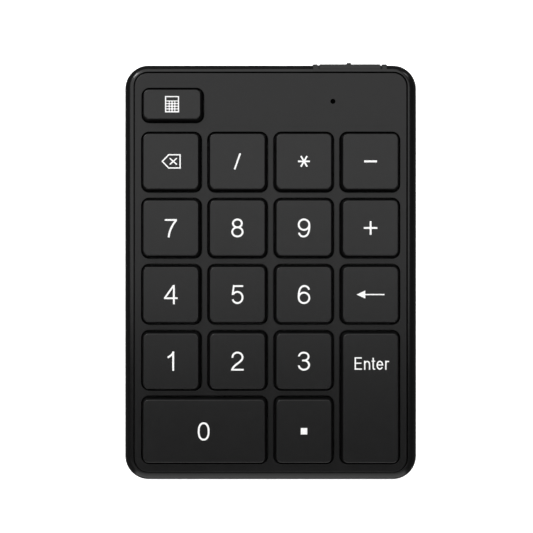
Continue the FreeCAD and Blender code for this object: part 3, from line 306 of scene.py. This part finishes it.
def squircle(x, y, rx, ry, power, steps=4 * CURVE_STEPS):
    """A closed ring whose sides are straighter than an ellipse's."""
    points = []
    for i in range(steps + 1):
        t = 2 * math.pi * i / steps
        c, s = math.cos(t), math.sin(t)
        points.append(
            (
                x + rx * math.copysign(abs(c) ** (2 / power), c),
                y + ry * math.copysign(abs(s) ** (2 / power), s),
            )
        )
    return points


def bezier(a, b, c, d, steps=CURVE_STEPS):
    """Points on a cubic curve from a to d, pulled towards b and c."""
    points = []
    for i in range(steps + 1):
        t = i / steps
        k = ((1 - t) ** 3, 3 * t * (1 - t) ** 2, 3 * t * t * (1 - t), t**3)
        points.append(tuple(sum(w * p[axis] for w, p in zip(k, (a, b, c, d))) for axis in (0, 1)))
    return points


def half_turn(strokes):
    """The same strokes turned upside down."""
    return [([(-x, -y) for x, y in path], width) for path, width in strokes]


def digit_strokes():
    """Sans-serif digits 5.5 mm high, as centre lines with a width."""
    w = DIGIT_STROKE
    thin = w * 0.92
    six_side = bezier((-1.51, -0.85), (-1.6, 1.35), (-0.95, 2.43), (0.15, 2.43))
    six_top = bezier((0.15, 2.43), (0.85, 2.43), (1.3, 2.0), (1.42, 1.36))[1:]
    six = [(arc(0.0, -0.94, 1.51, 1.49, 0, 360), w), (six_side + six_top, w)]
    two_bowl = arc(0.03, 1.06, 1.44, 1.38, 184, 0)
    two_leg = bezier((1.47, 1.06), (1.47, -0.25), (-1.15, -1.0), (-1.4, -2.3))[1:]
    five_bowl = arc(0.0, -0.83, 1.45, 1.60, 146, -160)
    seven_leg = bezier((1.52, 2.15), (0.5, 1.0), (-0.5, -0.9), (-0.62, -2.7))
    return {
        "0": [(squircle(-0.13, -0.06, 1.41, 2.32, 2.35), w)],
        "1": [
            ([(0.68, -2.75), (0.68, 2.75)], w),
            (bezier((0.80, 2.55), (0.45, 1.95), (-0.2, 1.35), (-0.92, 1.02)), w * 0.95),
        ],
        "2": [(two_bowl + two_leg, w), ([(-1.78, -2.44), (1.78, -2.44)], thin)],
        "3": [
            (arc(-0.06, 1.30, 1.36, 1.13, 178, -75), w),
            (arc(-0.02, -1.12, 1.46, 1.31, 97, -175), w),
            ([(-0.55, 0.18), (0.2, 0.18)], thin),
        ],
        "4": [
            ([(0.87, -2.75), (0.87, 2.73)], w),
            ([(-1.94, -1.05), (1.94, -1.05)], thin),
            ([(-1.72, -1.0), (0.74, 2.50)], thin),
        ],
        "5": [
            ([(-1.1, 2.42), (1.64, 2.42)], thin),
            ([(-0.98, 2.70), (-1.40, -0.12)], thin),
            (five_bowl, w),
        ],
        "6": six,
        "7": [([(-1.72, 2.28), (1.72, 2.28)], thin), (seven_leg, w)],
        "8": [
            (arc(0, 1.30, 1.27, 1.11, 0, 360), w),
            (arc(0, -1.12, 1.48, 1.30, 0, 360), w),
        ],
        "9": half_turn(six),
    }


def word_strokes():
    """The word on the tall key, capital height 3.55 mm."""
    w = WORD_STROKE
    base, cap, body = -1.78, 1.78, 0.80
    top = body - w / 2
    letters = [
        ([(-4.84, base), (-4.84, cap)], w),
        ([(-5.06, cap - w / 2), (-2.92, cap - w / 2)], w * 0.95),
        ([(-5.06, 0.08), (-3.05, 0.08)], w * 0.9),
        ([(-5.06, base + w / 2), (-2.88, base + w / 2)], w * 0.95),
        ([(-2.06, base), (-2.06, body)], w),
        (bezier((-2.06, -0.1), (-1.95, 0.75), (-0.66, 0.95), (-0.66, -0.35)) + [(-0.66, base)], w),
        ([(0.42, 1.62), (0.42, -1.2)], w),
        (bezier((0.42, -1.15), (0.42, -1.6), (0.6, -1.66), (1.0, -1.58)), w * 0.9),
        ([(-0.08, top + 0.05), (1.0, top + 0.05)], w * 0.85),
        (arc(2.38, -0.49, 0.79, 1.09, 0, 330), w),
        ([(1.6, -0.42), (3.38, -0.42)], w * 0.85),
        ([(4.14, base), (4.14, body)], w),
        (bezier((4.14, -0.35), (4.14, 0.4), (4.45, 0.78), (5.06, 0.52)), w * 0.95),
    ]
    return [
        ([(WORD_SQUEEZE * x + WORD_SHIFT, y) for x, y in path], width) for path, width in letters
    ]


def sign_strokes():
    """The operator signs, the decimal square and the outline of the erase key."""
    w = SIGN_STROKE
    star = []
    for turn in range(3):
        c, s = math.cos(turn * math.pi / 3), math.sin(turn * math.pi / 3)
        reach = 1.70 if turn == 0 else 1.76
        star.append(([(-reach * c, -reach * s), (reach * c, reach * s)], w * 0.9))
    edge, slope, tall, tip = 2.65, -0.62, 1.88, -2.42
    outline = [(tip, 0), (slope, tall), (edge, tall), (edge, -tall), (slope, -tall), (tip, 0)]
    cross = 1.0
    return {
        "/": [([(-0.80, -2.28), (0.80, 2.28)], w * 0.9)],
        "*": star,
        "-": [([(-1.83, 0), (1.83, 0)], w * 1.1)],
        "+": [([(-1.94, 0), (1.94, 0)], w * 1.02), ([(0, -1.94), (0, 1.94)], w * 1.02)],
        ".": [([(-0.92, 0), (0.92, 0)], 1.84)],
        "erase": [
            (outline, w * 0.68),
            ([(0.70 - cross, -cross * 0.9), (0.70 + cross, cross * 0.9)], w * 0.72),
            ([(0.70 - cross, cross * 0.9), (0.70 + cross, -cross * 0.9)], w * 0.72),
        ],
    }


def ribbon(path, width):
    """Quads along a path; corners are mitred so that the stroke keeps its width."""
    points = [Vector(p) for p in path]
    closed = (points[0] - points[-1]).length < 1e-6
    count = len(points)
    left, right = [], []
    for i, point in enumerate(points):
        before = points[i - 1] if i else (points[-2] if closed else None)
        after = points[i + 1] if i + 1 < count else (points[1] if closed else None)
        ways = []
        if before is not None:
            ways.append((point - before).normalized())
        if after is not None:
            ways.append((after - point).normalized())
        sides = [Vector((-way.y, way.x)) for way in ways]
        side = sum(sides, Vector((0, 0))).normalized()
        reach = width / 2 / max(0.4, side.dot(sides[0]))
        left.append(point + side * reach)
        right.append(point - side * reach)
    return [[left[i], right[i], right[i + 1], left[i + 1]] for i in range(count - 1)]


def rectangle(x, y, width, height):
    """One quad about (x, y)."""
    a, b = width / 2, height / 2
    corners = ((x - a, y - b), (x + a, y - b), (x + a, y + b), (x - a, y + b))
    return [Vector(corner) for corner in corners]


def merged_print(name, solid, holes=()):
    """One flat raised mesh from overlapping polygons, with holes cut where holes lie."""
    points, faces = [], []
    for polygon in list(solid) + list(holes):
        faces.append(list(range(len(points), len(points) + len(polygon))))
        points += [Vector((p[0], p[1])) for p in polygon]
    verts, _, tris, _, _, origin = delaunay_2d_cdt(points, [], faces, 0, 1e-5)
    kept = []
    for tri, owners in zip(tris, origin):
        if owners and not any(owner >= len(solid) for owner in owners):
            kept.append(tri)
    work = bmesh.new()
    made = [work.verts.new((v.x * MM, v.y * MM, (INK_RISE - INK_DEPTH) * MM)) for v in verts]
    for tri in kept:
        work.faces.new([made[i] for i in tri])
    bmesh.ops.delete(work, geom=[v for v in work.verts if not v.link_faces], context="VERTS")
    bmesh.ops.recalc_face_normals(work, faces=work.faces)
    if sum(f.normal.z for f in work.faces) > 0:
        bmesh.ops.reverse_faces(work, faces=work.faces)
    grown = bmesh.ops.extrude_face_region(work, geom=list(work.faces), use_keep_orig=True)
    lifted = [g for g in grown["geom"] if isinstance(g, bmesh.types.BMVert)]
    bmesh.ops.translate(work, verts=lifted, vec=(0, 0, INK_DEPTH * MM))
    bmesh.ops.recalc_face_normals(work, faces=work.faces)
    mesh = bpy.data.meshes.new(name)
    work.to_mesh(mesh)
    work.free()
    return mesh


def ink_material():
    """Matt white print with a faint unevenness."""
    made = Shader("legend_ink").set(Specular_IOR_Level=0.4)
    made.colour(made.ramp(made.noise(700, 3), (0.3, (0.90, 0.90, 0.90)), (0.7, (0.94, 0.94, 0.93))))
    made.rough(made.range(made.noise(2500, 2), 0.45, 0.6))
    made.bump(made.noise(8000, 2), 0.25, 0.00001)
    return made.material


def lay_on_key(key, mesh, material, up=0.0):
    """Lay a print on the middle of a keycap's top, moved up the key by some millimetres."""
    low, high = deck_box(key)
    mesh.materials.append(material)
    piece = bpy.data.objects.new("legend_" + key.split("_", 1)[1], mesh)
    bpy.context.scene.collection.objects.link(piece)
    middle = (low + high) / 2
    piece.matrix_world = deck_place(middle.x, middle.y + up * MM, high.z)
    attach(piece, key)
    return piece


def stroke_print(name, strokes):
    """One print made of strokes, each a path and its width."""
    polygons = []
    for path, width in strokes:
        polygons += ribbon(path, width)
    return merged_print(name, polygons)


def arrow_print():
    """A long thin arrow with a small solid head."""
    tip, neck, tail, half = -3.98, -1.52, 3.95, 1.15
    shaft_width, tucked = 0.36, 0.1
    head = [Vector((tip, 0)), Vector((neck, -half)), Vector((neck, half))]
    middle, length = (neck + tail) / 2 - tucked, tail - neck + 2 * tucked
    return merged_print("legend_arrow", [head, rectangle(middle, 0, length, shaft_width)])


def calculator_print():
    """A little calculator: a plate with a display window and four rows of keys."""
    plate_width, plate_height = 4.0, 4.64
    window_up, window_width, window_height = 1.53, 3.34, 0.98
    top_row, row_pitch, hole_height = 0.56, 0.76, 0.5
    columns = ((-1.29, 0.74), (-0.42, 0.5), (0.42, 0.5), (1.29, 0.74))
    holes = [rectangle(0, window_up, window_width, window_height)]
    for row in range(4):
        for x, width in columns:
            holes.append(rectangle(x, top_row - row_pitch * row, width, hole_height))
    plate = rectangle(0, 0, plate_width, plate_height)
    return merged_print("legend_calculator", [plate], holes)


def make_legends():
    """A print on each of the 19 keys."""
    ink = ink_material()
    for digit, strokes in digit_strokes().items():
        lay_on_key("key_" + digit, stroke_print("legend_" + digit, strokes), ink)
    signs = sign_strokes()
    for key, sign in (
        ("key_divide", "/"),
        ("key_multiply", "*"),
        ("key_minus", "-"),
        ("key_plus", "+"),
        ("key_decimal", "."),
        ("key_backspace", "erase"),
    ):
        lay_on_key(key, stroke_print("legend_" + key, signs[sign]), ink)
    lay_on_key("key_arrow", arrow_print(), ink)
    lay_on_key("key_calculator", calculator_print(), ink)
    lay_on_key("key_enter", stroke_print("legend_enter", word_strokes()), ink, up=WORD_UP)


# ---------------------------------------------------------------- the silicone domes
# A dome buckles under its key. So each dome is cut from the silicone sheet, along the circle where
# it rises.
# Lengths are in millimetres.

SHEET_THICK = 0.3
DOME_REACH = 4.0
LEVEL_MATCH = 0.02
WELD = 0.002
SHARP_DEGREES = 25


def near_middle(verts, x, v):
    """Whether every vertex is over one dome, whose middle is at (x, v) on the deck."""
    places = [DECK_AXES @ vert.co for vert in verts]
    return all(math.hypot(p.x - x, p.y - v) < DOME_REACH * MM for p in places)


def cut_piece(name, picked, centres):
    """A closed piece of the silicone sheet: its picked faces, and a wall along each cut."""
    work = bmesh.new()
    work.from_mesh(NODES["dome_sheet"].data)
    bmesh.ops.remove_doubles(work, verts=work.verts, dist=WELD * MM)
    gone = [f for f in work.faces if not picked(f)]
    bmesh.ops.delete(work, geom=gone, context="FACES")
    for x, v in centres:
        rings = [e for e in work.edges if e.is_boundary and near_middle(e.verts, x, v)]
        bmesh.ops.bridge_loops(work, edges=rings)
    bmesh.ops.recalc_face_normals(work, faces=work.faces)
    mesh = bpy.data.meshes.new(name)
    work.to_mesh(mesh)
    work.free()
    mesh.shade_smooth()
    mesh.set_sharp_from_angle(angle=math.radians(SHARP_DEGREES))
    piece = bpy.data.objects.new(name, mesh)
    bpy.context.scene.collection.objects.link(piece)
    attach(piece, "chassis")
    return piece


def make_domes(material):
    """The flat sheet in place of the CAD node, and one dome under each key."""
    low, _ = deck_box("dome_sheet")
    levels = (low.z, low.z + SHEET_THICK * MM)

    def flat(face):
        """Whether a face lies on, or runs straight between, the sheet's two sides."""
        heights = [(DECK_AXES @ vert.co).z for vert in face.verts]
        return all(min(abs(h - level) for level in levels) < LEVEL_MATCH * MM for h in heights)

    centres = {}
    for key in KEY_NAMES:
        middle = sum(deck_box(key), Vector()) / 2
        centres[key] = (middle.x, middle.y)
    sheet = cut_piece("silicone_sheet", flat, centres.values())
    sheet.data.materials.append(material)
    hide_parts("dome_sheet")
    for key, (x, v) in centres.items():
        dome = cut_piece(
            "dome_" + key.split("_", 1)[1],
            lambda face: not flat(face) and near_middle(face.verts, x, v),
            [(x, v)],
        )
        dome.data.materials.append(material)
        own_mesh(dome)


# ---------------------------------------------------------------- materials of the CAD nodes


def paint_case():
    """Black moulded plastics outside, and the plastic pieces inside."""
    paint("bottom_case", plastic("case_black", 0.0025, 0.21, grain=0.6))
    paint("top_cover", plastic("cover_black", 0.004, 0.30, specular=0.27))
    keys = plastic("key_black", 0.004, 0.30)
    for key in KEY_NAMES:
        paint(key, keys)
    paint("battery_door", plastic("door_black", 0.004, 0.3, grain=0.6))
    paint("switch_bezel", plastic("bezel_black", 0.0025, 0.24, grain=0.6))
    paint("power_slider", plastic("slider_black", 0.0025, 0.24, grain=0.6))
    paint("key_guide_plate", plastic("guide_black", 0.02, 0.5))
    paint("slide_switch_lever", plastic("lever_black", 0.02, 0.4))
    paint("radio_chip", plastic("chip_black", 0.02, 0.55))
    paint("film_connector", plastic("connector_cream", 0.62, 0.5))


def paint_metal():
    """Plate, wires, screws, contacts and metal cans."""
    paint("support_plate", metal("plate_zinc", 0.6, 0.38))
    wire = metal("spring_wire", 0.62, 0.25)
    for node in ("stabilizer_enter", "stabilizer_zero"):
        paint(node, wire)
    screw = metal("screw_nickel", 0.5, 0.3)
    for node in ("case_screws", "board_screws"):
        paint(node, screw)
    contact = metal("contact_nickel", 0.72, 0.22, tint=(1, 0.98, 0.94))
    for node in ("battery_contact_leaf", "battery_contact_plate"):
        paint(node, contact)
    paint("crystal", metal("crystal_can", 0.7, 0.25))
    paint("slide_switch_body", metal("switch_shell", 0.12, 0.45))


def paint_soft():
    """Feet and silicone sheet."""
    feet = rubber("foot_rubber", 0.02, 0.7)
    for node in ("foot_front_left", "foot_front_right", "foot_rear_left", "foot_rear_right"):
        paint(node, feet)
    silicone = rubber("milky_silicone", 0.7, 0.45, (1, 1.01, 0.98), 0.2)
    paint("dome_sheet", silicone)
    make_domes(silicone)


def paint_electric():
    """Films, circuit board, lamp and light pipe."""
    film = Shader("printed_film").set(Specular_IOR_Level=0.5, Transmission_Weight=0.3)
    clear, tinted = (0.70, 0.74, 0.72), (0.62, 0.63, 0.64)
    film.colour(film.ramp(film.noise(350, 2), (0.48, clear), (0.53, tinted)))
    film.rough(film.range(film.noise(800, 2), 0.2, 0.35))
    for node in ("membrane_upper", "membrane_spacer", "membrane_lower"):
        paint(node, film.material)

    board = Shader("green_board").set(Specular_IOR_Level=0.5, Coat_Weight=0.4)
    dark, light = (0.02, 0.10, 0.05), (0.03, 0.16, 0.08)
    board.colour(board.ramp(board.noise(500, 2), (0.45, dark), (0.55, light)))
    board.rough(board.range(board.noise(900, 2), 0.25, 0.4))
    paint("circuit_board", board.material)

    lamp = Shader("lamp_epoxy").set(Specular_IOR_Level=0.5, Transmission_Weight=0.4)
    lamp.colour(lamp.ramp(lamp.noise(2000, 2), (0.3, (0.8, 0.78, 0.6)), (0.7, (0.9, 0.88, 0.7))))
    lamp.rough(lamp.range(lamp.noise(2000, 2), 0.15, 0.25))
    paint("status_led", lamp.material)

    # The light pipe is near-black and has no reflection at all: painted shade standing for the dark
    # inside of the recessed LED hole.
    pipe = Shader("pipe_painted_shade").set(Specular_IOR_Level=0.0)
    black, painted_shade_grey = (0.001, 0.001, 0.001), (0.002, 0.002, 0.002)
    pipe.colour(pipe.ramp(pipe.noise(2000, 2), (0.3, black), (0.7, painted_shade_grey)))
    pipe.rough(pipe.range(pipe.noise(3000, 2), 0.25, 0.35))
    paint("light_pipe", pipe.material)


def paint_battery():
    """A plain blue sleeve with a pale band, and bare metal at both ends."""
    low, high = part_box("battery_cell")
    made = Shader("cell_sleeve").set(Specular_IOR_Level=0.5, Coat_Weight=0.3)
    split = made.tree.nodes.new("ShaderNodeSeparateXYZ")
    made.link(made.place.outputs["Object"], split.inputs["Vector"])
    along = made.tree.nodes.new("ShaderNodeMapRange")
    along.inputs["From Min"].default_value = low.x
    along.inputs["From Max"].default_value = high.x
    made.link(split.outputs["X"], along.inputs["Value"])
    steel, blue, pale = (0.55, 0.55, 0.54), (0.03, 0.10, 0.28), (0.6, 0.6, 0.58)
    stops = [(0.0, steel), (0.012, blue), (0.72, pale), (0.75, blue), (0.955, steel)]
    bands = made.ramp(along.outputs["Result"], *stops)
    bands.node.color_ramp.interpolation = "CONSTANT"
    made.colour(bands)
    made.rough(made.range(made.noise(700, 3), 0.22, 0.36))
    made.bump(made.noise(2500, 2), 0.1, 0.00001)
    paint("battery_cell", made.material)


make_camera()
make_floor()
make_light()
make_legends()
paint_case()
paint_metal()
paint_soft()
paint_electric()
paint_battery()

bpy.context.view_layer.update()
